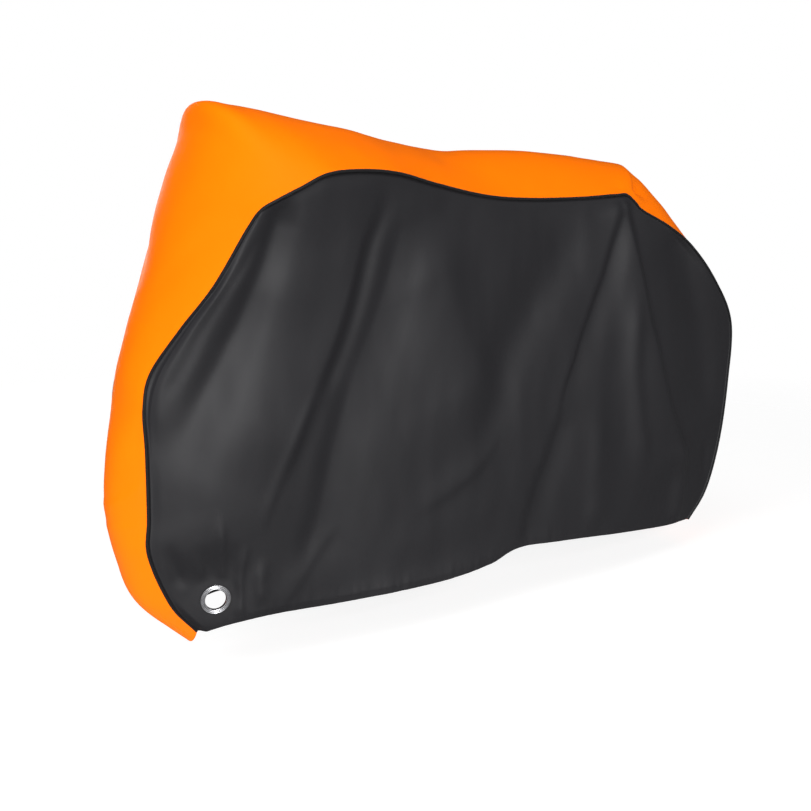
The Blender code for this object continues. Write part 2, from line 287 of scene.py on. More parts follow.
# the strip's middle and its seam, from the front hem over the top to the tail hem
sections = [
    # name, midX, midHeight, seamX, seamHalf, seamHeight
    ("front hem", -0.775, 0.066, -0.775, 0.045, 0.1),
    ("toe", -0.88, 0.172, -0.835, 0.058, 0.177),
    ("toe top", -0.914, 0.262, -0.88, 0.068, 0.293),
    ("nose low", -0.93, 0.345, -0.878, 0.072, 0.363),
    ("nose", -0.924, 0.47, -0.877, 0.076, 0.5),
    ("nose high", -0.9, 0.575, -0.878, 0.077, 0.582),
    ("brow", -0.887, 0.645, -0.863, 0.076, 0.643),
    ("chest low", -0.86, 0.725, -0.815, 0.11, 0.727),
    ("chest", -0.828, 0.805, -0.762, 0.152, 0.81),
    ("chest high", -0.795, 0.905, -0.706, 0.188, 0.918),
    ("front shoulder", -0.758, 1.005, -0.687, 0.206, 0.951),
    ("hump front", -0.724, 1.09, -0.656, 0.217, 0.97),
    ("hump corner", -0.709, 1.146, -0.611, 0.224, 0.991),
    ("hump", -0.655, 1.144, -0.563, 0.225, 1.012),
    ("hump back", -0.535, 1.125, -0.485, 0.214, 1.02),
    ("fall", -0.4, 1.1, -0.379, 0.195, 1.014),
    ("fall low", -0.27, 1.074, -0.262, 0.168, 0.99),
    ("waist", -0.15, 1.06, -0.11, 0.14, 0.963),
    ("middle", 0.0, 1.058, 0.029, 0.12, 0.953),
    ("rear top", 0.18, 1.052, 0.199, 0.11, 0.952),
    ("rear rise", 0.326, 1.035, 0.308, 0.107, 0.956),
    ("peak", 0.436, 1.019, 0.35, 0.105, 0.954),
    ("peak back", 0.464, 0.998, 0.38, 0.103, 0.935),
    ("notch", 0.491, 0.974, 0.401, 0.1, 0.92),
    ("slope", 0.549, 0.923, 0.5, 0.097, 0.878),
    ("slope low", 0.655, 0.826, 0.599, 0.092, 0.822),
    ("tail high", 0.738, 0.735, 0.7, 0.086, 0.73),
    ("tail", 0.8, 0.61, 0.779, 0.08, 0.615),
    ("tail low", 0.812, 0.46, 0.787, 0.074, 0.45),
    ("heel high", 0.792, 0.25, 0.769, 0.068, 0.264),
    ("heel", 0.755, 0.14, 0.731, 0.064, 0.145),
    ("tail hem", 0.7, 0.07, 0.676, 0.06, 0.076),
]
hemLine = [
    # x, half width, height
    (-0.775, 0.045, 0.1), (-0.729, 0.07, 0.112), (-0.645, 0.093, 0.119), (-0.475, 0.1, 0.112),
    (-0.33, 0.11, 0.11), (-0.209, 0.115, 0.109), (-0.098, 0.12, 0.116), (-0.055, 0.12, 0.122),
    (0.008, 0.12, 0.141), (0.151, 0.118, 0.132), (0.332, 0.11, 0.113), (0.491, 0.09, 0.092),
    (0.58, 0.075, 0.081), (0.676, 0.06, 0.076),
]


def stations():  # dense rows of the strip, and where the named ones lie
    steps = 16
    dense = smoothRows([row[1:] for row in sections], steps)
    dense[:, [1, 4]] -= cover["groundToTop"]
    return dense, {row[0]: i * steps for i, row in enumerate(sections)}


dense, stationAt = stations()
seamLine = dense[:, [2, 3, 4]]
runs = {
    "front": seamLine[: stationAt["front shoulder"] + 1],
    "top": seamLine[stationAt["front shoulder"] : stationAt["peak"] + 1],
    "back": seamLine[stationAt["peak"] :],
}


# Side panels
panel = {
    "columns": 330,
    "rows": 116,  # down to the hem's stitch line
    "hemRows": 12,  # from there to the edge
    "stitchShare": 0.968,  # how far down the stitch line lies
    "spread": 0.4,  # how much farther apart the rows lie at the top than halfway down
    "belly": 0.030,
    "bellyPower": 1.3,
    "gridLines": [  # line, its share on top and on the hem
        (0.00, 0.00, 0.00), (0.32, 0.31, 0.22), (0.80, 0.84, 0.62), (1.00, 1.00, 1.00),
    ],
    "corner": 0.06,  # share of the hem that follows its seams' ends
    "calm": 400,  # passes that even out the shape the seams give the cloth
    "wide": 1.6,  # rough size, to measure from the seams
    "tall": 1.1,
    "foldStart": 0.030,  # the folds grow over this, from the seam
    "drape": 0.0022,
    "drapeSizes": (0.11, 0.045),
    "drapeSecond": 0.45,  # share of the smaller unevenness
    "drapeStretch": 0.45,  # it is drawn out upwards
    "pucker": 0.0009,
    "puckerSize": 0.014,
    "puckerStretch": 0.3,
    "puckerStart": 0.90,  # share of the way down
    "puckerGrow": 0.07,
}
eyeletAt = {
    "x": -0.748, "half": 0.082, "height": 0.175,
    "slopeX": 0.25, "slopeUp": 0.08,  # growth of the half width towards the tail and upwards
    "flat": 0.042, "blend": 0.140,  # the cloth is a plane out to the first, and itself from the second
    "seam": 0.02,  # the plane fades out over this, towards the seam
    "clear": 0.034, "grow": 0.022,  # folds begin at the first and are whole after the second
}
nearFolds = [
    # name, route of x and height, its width to the left at start and end, its width to the right,
    # rise, sharpness, length of the fade at each end
    ("shoulder",
     [(-0.66, 0.93), (-0.54, 0.95), (-0.4, 0.96)],
     (0.08, 0.08), (0.09, 0.09), 0.004, 2.0, (0.08, 0.08)),
    ("front crease",
     [(-0.618, 0.985), (-0.637, 0.945), (-0.649, 0.905), (-0.66, 0.86), (-0.673, 0.82), (-0.685, 0.784),
      (-0.699, 0.745), (-0.715, 0.707), (-0.731, 0.67), (-0.749, 0.632), (-0.768, 0.594), (-0.786, 0.557),
      (-0.805, 0.518), (-0.824, 0.478), (-0.846, 0.43)],
     (0.026, 0.044), (0.03, 0.074), -0.019, 2.0, (0.07, 0.24)),
    ("chest swell",
     [(-0.63, 0.9), (-0.652, 0.8), (-0.672, 0.7), (-0.7, 0.6), (-0.726, 0.5), (-0.755, 0.4), (-0.79, 0.3),
      (-0.81, 0.24)],
     (0.09, 0.08), (0.11, 0.11), 0.011, 2.0, (0.12, 0.2)),
    ("front roll",
     [(-0.594, 0.985), (-0.614, 0.931), (-0.636, 0.858), (-0.647, 0.82), (-0.658, 0.78), (-0.67, 0.744),
      (-0.682, 0.706), (-0.696, 0.667), (-0.709, 0.629), (-0.722, 0.592), (-0.736, 0.554), (-0.75, 0.514),
      (-0.764, 0.477), (-0.782, 0.437), (-0.81, 0.36)],
     (0.05, 0.06), (0.026, 0.05), 0.0045, 2.0, (0.06, 0.22)),
    ("nose swell",
     [(-0.735, 0.89), (-0.76, 0.81), (-0.8, 0.73), (-0.84, 0.65), (-0.862, 0.58), (-0.872, 0.5)],
     (0.05, 0.05), (0.05, 0.055), 0.0045, 2.0, (0.1, 0.08)),
    ("second crease",
     [(-0.68, 0.92), (-0.704, 0.86), (-0.735, 0.81), (-0.769, 0.748), (-0.789, 0.71), (-0.806, 0.671),
      (-0.827, 0.634), (-0.85, 0.59)],
     (0.014, 0.014), (0.012, 0.012), -0.0024, 2.0, (0.06, 0.05)),
    ("plateau edge",
     [(-0.435, 0.96), (-0.46, 0.886), (-0.472, 0.82), (-0.484, 0.766), (-0.5, 0.71), (-0.522, 0.65),
      (-0.546, 0.6), (-0.57, 0.55), (-0.6, 0.49), (-0.625, 0.44), (-0.655, 0.38)],
     (0.13, 0.13), (0.02, 0.028), 0.012, 2.0, (0.14, 0.14)),
    ("dark trough",
     [(-0.388, 0.985), (-0.408, 0.924), (-0.424, 0.88), (-0.432, 0.84), (-0.438, 0.8), (-0.446, 0.76),
      (-0.457, 0.72), (-0.471, 0.682), (-0.49, 0.64), (-0.512, 0.6), (-0.53, 0.56)],
     (0.02, 0.022), (0.02, 0.026), -0.007, 2.0, (0.1, 0.08)),
    ("soft trough",
     [(-0.33, 0.96), (-0.35, 0.88), (-0.366, 0.81), (-0.386, 0.74), (-0.41, 0.68), (-0.44, 0.61),
      (-0.462, 0.54), (-0.484, 0.47), (-0.5, 0.4), (-0.518, 0.32), (-0.545, 0.24), (-0.565, 0.18)],
     (0.03, 0.038), (0.085, 0.1), -0.011, 2.0, (0.16, 0.1)),
    ("thin left",
     [(-0.545, 0.59), (-0.567, 0.536), (-0.592, 0.477), (-0.619, 0.42), (-0.643, 0.367), (-0.668, 0.29)],
     (0.016, 0.018), (0.012, 0.012), 0.0024, 2.0, (0.05, 0.1)),
    ("hem diagonal",
     [(-0.47, 0.31), (-0.525, 0.245), (-0.57, 0.19), (-0.625, 0.115)],
     (0.034, 0.034), (0.016, 0.016), 0.0028, 2.0, (0.08, 0.05)),
    ("belly",
     [(-0.29, 0.93), (-0.26, 0.84), (-0.225, 0.76), (-0.19, 0.69), (-0.155, 0.62), (-0.125, 0.54),
      (-0.105, 0.46), (-0.09, 0.38)],
     (0.11, 0.16), (0.08, 0.06), 0.017, 2.0, (0.14, 0.2)),
    ("valley ridge",
     [(0.2, 0.92), (0.14, 0.83), (0.075, 0.745), (0.01, 0.67), (-0.04, 0.6), (-0.07, 0.53),
      (-0.085, 0.46), (-0.095, 0.38)],
     (0.085, 0.05), (0.07, 0.06), -0.013, 2.0, (0.12, 0.12)),
    ("valley foot",
     [(-0.045, 0.45), (-0.107, 0.378), (-0.171, 0.337), (-0.234, 0.31), (-0.32, 0.28)],
     (0.04, 0.04), (0.016, 0.02), 0.0038, 2.0, (0.12, 0.12)),
    ("low middle",
     [(-0.4, 0.2), (-0.28, 0.22), (-0.15, 0.25), (0.0, 0.28)],
     (0.06, 0.06), (0.06, 0.06), 0.003, 2.0, (0.12, 0.12)),
    ("peak line",
     [(0.338, 0.95), (0.325, 0.9), (0.303, 0.84), (0.29, 0.8), (0.274, 0.756), (0.25, 0.71),
      (0.228, 0.664), (0.205, 0.618), (0.187, 0.573), (0.165, 0.527), (0.147, 0.48), (0.138, 0.43)],
     (0.012, 0.012), (0.04, 0.06), -0.0095, 2.0, (0.04, 0.14)),
    ("peak foot",
     [(0.16, 0.5), (0.148, 0.44), (0.127, 0.39), (0.107, 0.34), (0.082, 0.295), (0.065, 0.25),
      (0.05, 0.2), (0.045, 0.11)],
     (0.022, 0.026), (0.05, 0.05), -0.008, 2.0, (0.1, 0.08)),
    ("tail line",
     [(0.33, 0.965), (0.345, 0.91), (0.36, 0.85), (0.376, 0.799), (0.393, 0.751), (0.408, 0.7),
      (0.422, 0.651), (0.444, 0.598), (0.464, 0.545), (0.484, 0.493), (0.509, 0.436), (0.545, 0.37),
      (0.585, 0.29), (0.615, 0.22)],
     (0.06, 0.11), (0.014, 0.018), 0.0165, 2.0, (0.05, 0.1)),
    ("rear streak",
     [(0.378, 0.76), (0.376, 0.658), (0.377, 0.557), (0.384, 0.48), (0.402, 0.405), (0.425, 0.32),
      (0.45, 0.22)],
     (0.032, 0.038), (0.024, 0.024), 0.0075, 2.0, (0.14, 0.14)),
    ("low hollow",
     [(0.262, 0.52), (0.262, 0.4), (0.266, 0.28), (0.272, 0.12)],
     (0.04, 0.04), (0.04, 0.046), 0.008, 2.0, (0.16, 0.08)),
    ("tail hollow",
     [(0.5, 0.9), (0.56, 0.8), (0.61, 0.7), (0.65, 0.57), (0.675, 0.44), (0.68, 0.34)],
     (0.08, 0.07), (0.06, 0.05), -0.012, 2.0, (0.1, 0.14)),
    ("heel fold",
     [(0.59, 0.35), (0.6, 0.27), (0.605, 0.18), (0.6, 0.07)],
     (0.035, 0.035), (0.022, 0.026), 0.012, 2.0, (0.09, 0.05)),
    ("heel crease",
     [(0.7, 0.31), (0.716, 0.24), (0.725, 0.16)],
     (0.014, 0.014), (0.022, 0.022), -0.006, 2.0, (0.05, 0.05)),
    ("top wrinkle",
     [(-0.3, 0.955), (-0.2, 0.928), (-0.11, 0.903), (-0.02, 0.885)],
     (0.014, 0.018), (0.012, 0.014), -0.0014, 2.0, (0.08, 0.08)),
    ("hem flare",
     [(-0.56, 0.1), (-0.4, 0.1), (-0.23, 0.105), (-0.06, 0.12)],
     (0.045, 0.045), (0.045, 0.045), 0.008, 2.0, (0.14, 0.14)),
    ("gather line",
     [(-0.75, 0.37), (-0.745, 0.31), (-0.738, 0.25), (-0.73, 0.2)],
     (0.012, 0.012), (0.01, 0.01), 0.004, 1.8, (0.06, 0.04)),
    ("gather ridge",
     [(-0.8, 0.3), (-0.785, 0.255), (-0.768, 0.21)],
     (0.014, 0.012), (0.012, 0.01), 0.004, 2.0, (0.06, 0.04)),
    ("gather hollow",
     [(-0.85, 0.32), (-0.83, 0.26), (-0.805, 0.2)],
     (0.016, 0.016), (0.014, 0.012), -0.005, 2.0, (0.06, 0.04)),
    ("gather right",
     [(-0.69, 0.3), (-0.7, 0.23), (-0.7, 0.15), (-0.69, 0.11)],
     (0.012, 0.012), (0.01, 0.01), 0.0045, 2.0, (0.06, 0.04)),
    ("gather low",
     [(-0.655, 0.26), (-0.66, 0.2), (-0.655, 0.14)],
     (0.012, 0.012), (0.016, 0.016), 0.004, 2.0, (0.05, 0.04)),
]
farFolds = [
    ("shoulder",
     [(-0.65, 0.93), (-0.53, 0.95), (-0.39, 0.96)],
     (0.08, 0.08), (0.09, 0.09), 0.014, 2.0, (0.08, 0.08)),
    ("front ridge",
     [(-0.585, 0.985), (-0.625, 0.87), (-0.668, 0.76), (-0.705, 0.64), (-0.75, 0.5), (-0.78, 0.36)],
     (0.03, 0.05), (0.02, 0.07), 0.015, 2.0, (0.04, 0.22)),
    ("front crease",
     [(-0.62, 0.975), (-0.655, 0.87), (-0.7, 0.76), (-0.75, 0.66), (-0.8, 0.58)],
     (0.018, 0.022), (0.009, 0.012), -0.009, 1.8, (0.04, 0.1)),
    ("front roll",
     [(-0.48, 0.94), (-0.53, 0.76), (-0.61, 0.56), (-0.66, 0.38)],
     (0.075, 0.09), (0.05, 0.05), 0.009, 2.0, (0.12, 0.18)),
    ("dark trough",
     [(-0.39, 0.99), (-0.405, 0.89), (-0.43, 0.78), (-0.47, 0.67), (-0.53, 0.55), (-0.56, 0.48)],
     (0.03, 0.045), (0.013, 0.024), -0.015, 2.0, (0.05, 0.08)),
    ("soft trough",
     [(-0.32, 0.93), (-0.37, 0.78), (-0.43, 0.62), (-0.48, 0.48), (-0.52, 0.34), (-0.56, 0.2)],
     (0.03, 0.034), (0.034, 0.03), -0.011, 2.0, (0.16, 0.12)),
    ("thin left",
     [(-0.52, 0.56), (-0.56, 0.48), (-0.59, 0.4), (-0.615, 0.29)],
     (0.01, 0.012), (0.005, 0.007), -0.004, 1.7, (0.05, 0.1)),
    ("hem diagonal",
     [(-0.42, 0.32), (-0.48, 0.255), (-0.53, 0.19), (-0.58, 0.11)],
     (0.016, 0.018), (0.007, 0.009), -0.006, 1.8, (0.08, 0.05)),
    ("belly",
     [(-0.32, 0.95), (-0.3, 0.8), (-0.27, 0.64), (-0.22, 0.5), (-0.18, 0.36)],
     (0.06, 0.06), (0.09, 0.13), 0.019, 2.0, (0.12, 0.2)),
    ("long valley",
     [(-0.24, 0.9), (-0.17, 0.77), (-0.1, 0.64), (-0.04, 0.52), (-0.07, 0.4), (-0.2, 0.27)],
     (0.05, 0.04), (0.06, 0.034), -0.01, 2.0, (0.16, 0.16)),
    ("valley ridge",
     [(0.26, 0.92), (0.195, 0.79), (0.11, 0.66), (0.04, 0.54), (0.0, 0.42), (-0.03, 0.32)],
     (0.08, 0.04), (0.06, 0.05), 0.012, 2.0, (0.12, 0.12)),
    ("peak line",
     [(0.338, 0.95), (0.31, 0.87), (0.275, 0.76), (0.235, 0.63), (0.2, 0.5), (0.18, 0.43)],
     (0.006, 0.008), (0.04, 0.07), 0.008, 2.0, (0.04, 0.14)),
    ("peak foot",
     [(0.205, 0.48), (0.19, 0.38), (0.16, 0.26), (0.14, 0.13)],
     (0.018, 0.026), (0.045, 0.05), 0.009, 2.0, (0.1, 0.1)),
    ("tail line",
     [(0.352, 0.955), (0.385, 0.88), (0.43, 0.75), (0.49, 0.59), (0.545, 0.43), (0.6, 0.27),
      (0.64, 0.16)],
     (0.045, 0.055), (0.007, 0.011), -0.0095, 1.9, (0.03, 0.1)),
    ("low hollow",
     [(0.32, 0.45), (0.33, 0.3), (0.34, 0.14)],
     (0.04, 0.04), (0.03, 0.04), -0.009, 2.0, (0.12, 0.08)),
    ("rear bulge",
     [(0.54, 0.85), (0.6, 0.71), (0.64, 0.56), (0.668, 0.39)],
     (0.06, 0.055), (0.042, 0.04), 0.012, 2.0, (0.1, 0.14)),
    ("heel fold",
     [(0.615, 0.34), (0.628, 0.25), (0.64, 0.16), (0.645, 0.06)],
     (0.03, 0.03), (0.022, 0.026), -0.012, 2.0, (0.09, 0.05)),
    ("top wrinkle",
     [(-0.22, 0.94), (-0.1, 0.91), (0.02, 0.895), (0.12, 0.9)],
     (0.014, 0.018), (0.012, 0.014), 0.002, 2.0, (0.08, 0.08)),
    ("hem flare",
     [(-0.5, 0.1), (-0.34, 0.1), (-0.18, 0.105), (-0.04, 0.125)],
     (0.045, 0.045), (0.045, 0.045), 0.007, 2.0, (0.14, 0.14)),
    ("gather line",
     [(-0.756, 0.37), (-0.75, 0.31), (-0.742, 0.25), (-0.734, 0.2)],
     (0.01, 0.01), (0.005, 0.006), -0.005, 1.8, (0.06, 0.04)),
    ("gather hollow",
     [(-0.81, 0.32), (-0.8, 0.25), (-0.78, 0.185)],
     (0.016, 0.016), (0.014, 0.012), -0.006, 2.0, (0.06, 0.04)),
    ("gather right",
     [(-0.68, 0.3), (-0.694, 0.23), (-0.698, 0.15), (-0.69, 0.11)],
     (0.01, 0.01), (0.009, 0.01), -0.006, 1.9, (0.06, 0.04)),
]


def coonsPatch(top, low, left, right, u, v):
    grid = (1 - v) * top[None] + v * low[None] + (1 - u) * left[:, None] + u * right[:, None]
    grid = grid - (1 - u) * (1 - v) * top[0] - u * (1 - v) * top[-1]
    return grid - (1 - u) * v * low[0] - u * v * low[-1]


def seamLoop(rows, columns):
    front = [(r, 0) for r in range(rows - 1, 0, -1)]
    top = [(0, c) for c in range(columns - 1)]
    back = [(r, columns - 1) for r in range(rows)]
    return front + top + back


def pullBack(points, inside, amount):  # edge points moved square to the edge, towards the points inside
    run = unit(np.gradient(points, axis=0))
    across = inside - points
    across = unit(across - (across * run).sum(axis=1)[:, None] * run)
    return points + amount * across, across


def edgeOf(grid):  # the three seamed sides of a panel's grid, and the points just inside them
    rows, columns = grid.shape[:2]
    loop = seamLoop(rows, columns)
    seam = np.array([grid[spot] for spot in loop])
    inside = np.array([grid[min(max(r, 1), rows - 2), min(max(c, 1), columns - 2)] for r, c in loop])
    return loop, seam, inside


def panelGrid():  # the outer face with no folds, as rows of (x, half width, z), with its two shares
    hem = smoothRows(hemLine)
    hem[:, 2] -= cover["groundToTop"]
    lines, onTop, onHem = np.array(panel["gridLines"]).T
    across = np.linspace(0, 1, panel["columns"] + 1)
    even = np.concatenate([
        np.linspace(0, panel["stitchShare"], panel["rows"], endpoint=False),
        np.linspace(panel["stitchShare"], 1, panel["hemRows"] + 1),
    ])
    down = (1 + panel["spread"]) * even - panel["spread"] * even**2
    top = atShares(runs["top"], np.interp(across, *smoothRows(np.stack([lines, onTop], axis=1)).T))
    low = atShares(hem, np.interp(across, *smoothRows(np.stack([lines, onHem], axis=1)).T))
    u, v = across[None, :, None], down[:, None, None]
    first = coonsPatch(top, low, atShares(runs["front"][::-1], down), atShares(runs["back"], down), u, v)
    loop, seam, inside = edgeOf(first)
    edge, _ = pullBack(seam, inside, cover["seamBack"])
    for spot, point in zip(loop, edge):
        first[spot] = point
    nearEnd = np.clip(1 - across / panel["corner"], 0, 1)[:, None]
    low = low + nearEnd * (first[-1, 0] - low[0]) + nearEnd[::-1] * (first[-1, -1] - low[-1])
    grid = coonsPatch(first[0], low, first[:, 0], first[:, -1], u, v)
    bulge = (np.sin(math.pi * u) * np.sin(math.pi * v))[..., 0]
    grid[..., 1] += panel["belly"] * bulge ** panel["bellyPower"]
    return grid, across, even


def drapedPanel(folds, seed):
    grid, across, even = panelGrid()
    x, half, z = grid[..., 0], grid[..., 1], grid[..., 2]
    height = z + cover["groundToTop"]
    fromSides = np.minimum(across, 1 - across)[None, :] * panel["wide"]
    fromSeam = np.minimum(even[:, None] * panel["tall"], fromSides)
    for _ in range(panel["calm"]):
        half[1:-1, 1:-1] = half[1:-1, 1:-1] * 0.5 + (half[:-2, 1:-1] + half[2:, 1:-1]) * 0.25
    # a plane for the eyelet
    away = np.hypot(x - eyeletAt["x"], height - eyeletAt["height"])
    flat = smoothStep((eyeletAt["blend"] - away) / (eyeletAt["blend"] - eyeletAt["flat"]))
    flat *= smoothStep(fromSides / eyeletAt["seam"])
    plane = eyeletAt["half"] + eyeletAt["slopeX"] * (x - eyeletAt["x"])
    plane = plane + eyeletAt["slopeUp"] * (height - eyeletAt["height"])
    half = half + flat * (plane - half)
    # folds, then the cloth's small unevenness and the puckers that the hem's stitches draw
    start = smoothStep(fromSeam / panel["foldStart"])
    clear = smoothStep((away - eyeletAt["clear"]) / eyeletAt["grow"])
    half = half + start * clear * foldHeights(x, height, folds)
    points = np.stack([x, half, height * panel["drapeStretch"]], axis=-1)
    large, small = panel["drapeSizes"]
    uneven = softNoise(points, large, seed) + panel["drapeSecond"] * softNoise(points, small, seed + 5)
    half = half + start * clear * panel["drape"] * uneven
    toHem = smoothStep((even - panel["puckerStart"]) / panel["puckerGrow"])[:, None]
    puckers = softNoise(points * (1.0, 1.0, panel["puckerStretch"]), panel["puckerSize"], seed + 9)
    half = half + start * clear * panel["pucker"] * toHem * puckers
    return np.stack([x, half, z], axis=-1)


def turnedEdge(edge, across, normals):  # rows of points that turn a cut edge down into the seam
    radius = cover["seamRound"]
    rows = []
    for angle in cover["seamTurns"]:
        rows.append(edge - across * radius * math.sin(angle) - normals * radius * (1 - math.cos(angle)))
    turned = rows[-1]
    for deep in cover["seamDepths"]:
        rows.append(turned - normals * cover["seamAllowance"] * deep)
    return rows


def upFrom(lines, values, distance):  # each column's value at a distance up from its last point
    back, values = lines[::-1], values[::-1]
    steps = np.linalg.norm(np.diff(back, axis=0), axis=2)
    lengths = np.concatenate([np.zeros((1, steps.shape[1])), np.cumsum(steps, axis=0)])
    row = np.empty_like(values[0])
    for c in range(row.shape[0]):
        for k in range(3):
            row[c, k] = np.interp(distance, lengths[:, c], values[:, c, k])
    return row


def turnedHem(lines, ways):  # rows that fold each column's end back up inside
    radius = cover["hemRound"]
    edge, normal = lines[-1], ways[-1]
    down = unit(edge - lines[-2])
    rows = []
    for angle in cover["hemTurns"]:
        rows.append(edge + down * radius * math.sin(angle) - normal * radius * (1 - math.cos(angle)))
    for deep in cover["hemDepths"]:
        distance = deep * cover["hemWidth"]
        rows.append(upFrom(lines, lines, distance) - 2 * radius * unit(upFrom(lines, ways, distance)))
    return rows


def hemStitchLine(lines, ways):
    return upFrom(lines, lines, cover["stitchLine"]), unit(upFrom(lines, ways, cover["stitchLine"]))


def clothMesh(name, points, faces, metres, material):
    mesh = bpy.data.meshes.new(name)
    mesh.from_pydata([tuple(p) for p in points], [], faces)
    layer = mesh.uv_layers.new(name="cloth")
    corners = np.zeros(len(mesh.loops), np.int32)
    mesh.loops.foreach_get("vertex_index", corners)
    layer.data.foreach_set("uv", metres[corners].astype(np.float32).ravel())
    mesh.shade_smooth()
    mesh.materials.append(material)
    made = bpy.data.objects.new(name, mesh)
    bpy.context.scene.collection.objects.link(made)
    return made


def selectOnly(made):
    bpy.ops.object.select_all(action="DESELECT")
    bpy.context.view_layer.objects.active = made
    made.select_set(True)


def applyModifier(made, modifier):
    selectOnly(made)
    bpy.ops.object.modifier_apply(modifier=modifier.name)


def thickened(made):
    solid = made.modifiers.new("thickness", "SOLIDIFY")
    solid.thickness = cover["thickness"]
    solid.offset = -1
    applyModifier(made, solid)


def quads(first, second, flipped):  # faces between two rows of point numbers
    made = []
    for a, b, c, d in zip(first[:-1], second[:-1], second[1:], first[1:]):
        made.append((d, c, b, a) if flipped else (a, b, c, d))
    return made


def gridFaces(grid, flipped):  # a grid's points, their numbers and its faces
    rows, columns = grid.shape[:2]
    numbers = np.arange(rows * columns).reshape(rows, columns)
    faces = []
    for r in range(rows - 1):
        faces += quads(numbers[r], numbers[r + 1], flipped)
    return list(grid.reshape(-1, 3)), numbers, faces


def addRows(points, faces, last, rows, flipped):  # each row's points are joined to the row before
    for row in rows:
        fresh = range(len(points), len(points) + len(row))
        faces += quads(last, fresh, flipped)
        points += list(row)
        last = fresh


def sidePanel(name, side, folds, seed):
    grid = drapedPanel(folds, seed)
    grid[..., 1] *= side
    rows, columns = grid.shape[:2]
    normals = gridNormals(grid)
    if normals[rows // 2, columns // 2, 1] * side < 0:
        normals = -normals
    normals[:3, :3] = normals[3, 3]
    normals[:3, -3:] = normals[3, -4]
    loop, edge, inside = edgeOf(grid)
    _, across = pullBack(edge, inside, 0)
    flipped = side > 0
    points, numbers, faces = gridFaces(grid, flipped)
    edgeNumbers = [numbers[spot] for spot in loop]
    edgeNormals = np.array([normals[spot] for spot in loop])
    addRows(points, faces, edgeNumbers, turnedEdge(edge, across, edgeNormals), flipped)
    addRows(points, faces, numbers[-1], turnedHem(grid, normals), flipped)
    made = clothMesh(name, points, faces, np.array(points)[:, [0, 2]], charcoalCloth)
    cutEyeletHole(made, side)
    thickened(made)
    print(name, len(points), "points")
    return made, grid, normals


# Eyelets: a flange rolled over a barrel, and the washer behind the cloth, turned as rings of points
eyelet = {
    "hole": 0.0215, "barrel": 0.0228, "rim": 0.0312, "steps": 72,
    "gap": 0.0003,
    "clothHole": 0.0006,  # how much wider than the barrel the cloth is cut
    "cutDepth": 0.03,
    "clothDepth": 0.0015,  # from the cloth's face to the gap over the washer
    "underRim": 0.0012,
    # each arc's centre from the rim or the hole and from the gap, its radius, its angles and its points
    "roll": (-0.0015, 0.0015, 0.0015, -60, 150, 9),
    "groove": (-0.0044, 0.0022, 0.0015, -35, -145, 6),
    "lip": (0.0020, 0.0016, 0.0020, 25, 180, 10),
    "washer": 0.0010,
    "washerInset": 0.0015,
    "washerBevel": (0.0006, 0.0005),
    "sharpAngle": 35,
}


def eyeletTurn(side):
    centre = Vector((eyeletAt["x"], side * eyeletAt["half"], eyeletAt["height"] - cover["groundToTop"]))
    normal = Vector((-eyeletAt["slopeX"], side, -eyeletAt["slopeUp"])).normalized()
    return Matrix.Translation(centre) @ normal.to_track_quat("Z", "Y").to_matrix().to_4x4()


def cutEyeletHole(made, side):
    bpy.ops.object.select_all(action="DESELECT")
    radius = eyelet["barrel"] + eyelet["clothHole"]
    bpy.ops.mesh.primitive_cylinder_add(vertices=eyelet["steps"], radius=radius, depth=eyelet["cutDepth"])
    cutter = bpy.context.object
    cutter.matrix_world = eyeletTurn(side)
    cut = made.modifiers.new("hole", "BOOLEAN")
    cut.operation = "DIFFERENCE"
    cut.solver = "EXACT"
    cut.object = cutter
    applyModifier(made, cut)
    bpy.data.objects.remove(cutter)


def turnedRings(name, profile, side):  # a ring of edges, pulled along the profile and closed
    bpy.ops.object.select_all(action="DESELECT")
    radius, start = profile[0]
    bpy.ops.mesh.primitive_circle_add(vertices=eyelet["steps"], radius=radius, location=(0, 0, start))
    made = bpy.context.object
    bpy.ops.object.transform_apply(location=True, rotation=True, scale=True)
    bpy.ops.object.mode_set(mode="EDIT")
    bpy.ops.mesh.select_all(action="SELECT")
    for (r0, z0), (r1, z1) in zip(profile[:-1], profile[1:]):
        bpy.ops.mesh.extrude_edges_move(TRANSFORM_OT_translate={"value": (0, 0, z1 - z0)})
        bpy.ops.transform.resize(value=(r1 / r0, r1 / r0, 1), center_override=(0, 0, 0))
    bpy.ops.mesh.select_all(action="SELECT")
    bpy.ops.mesh.region_to_loop()
    bpy.ops.mesh.bridge_edge_loops()
    bpy.ops.mesh.select_all(action="SELECT")
    bpy.ops.mesh.normals_make_consistent(inside=False)
    bpy.ops.object.mode_set(mode="OBJECT")
    made.name = name
    made.data.name = name
    made.data.materials.append(eyeletMetal)
    made.data.transform(eyeletTurn(side))
    bpy.ops.object.shade_smooth_by_angle(angle=math.radians(eyelet["sharpAngle"]))
    return made


def arcPoints(fromR, fromZ, offR, offZ, radius, start, end, count):  # degrees, in the profile's plane
    angles = np.radians(np.linspace(start, end, count))
    return [(fromR + offR + radius * math.cos(a), fromZ + offZ + radius * math.sin(a)) for a in angles]


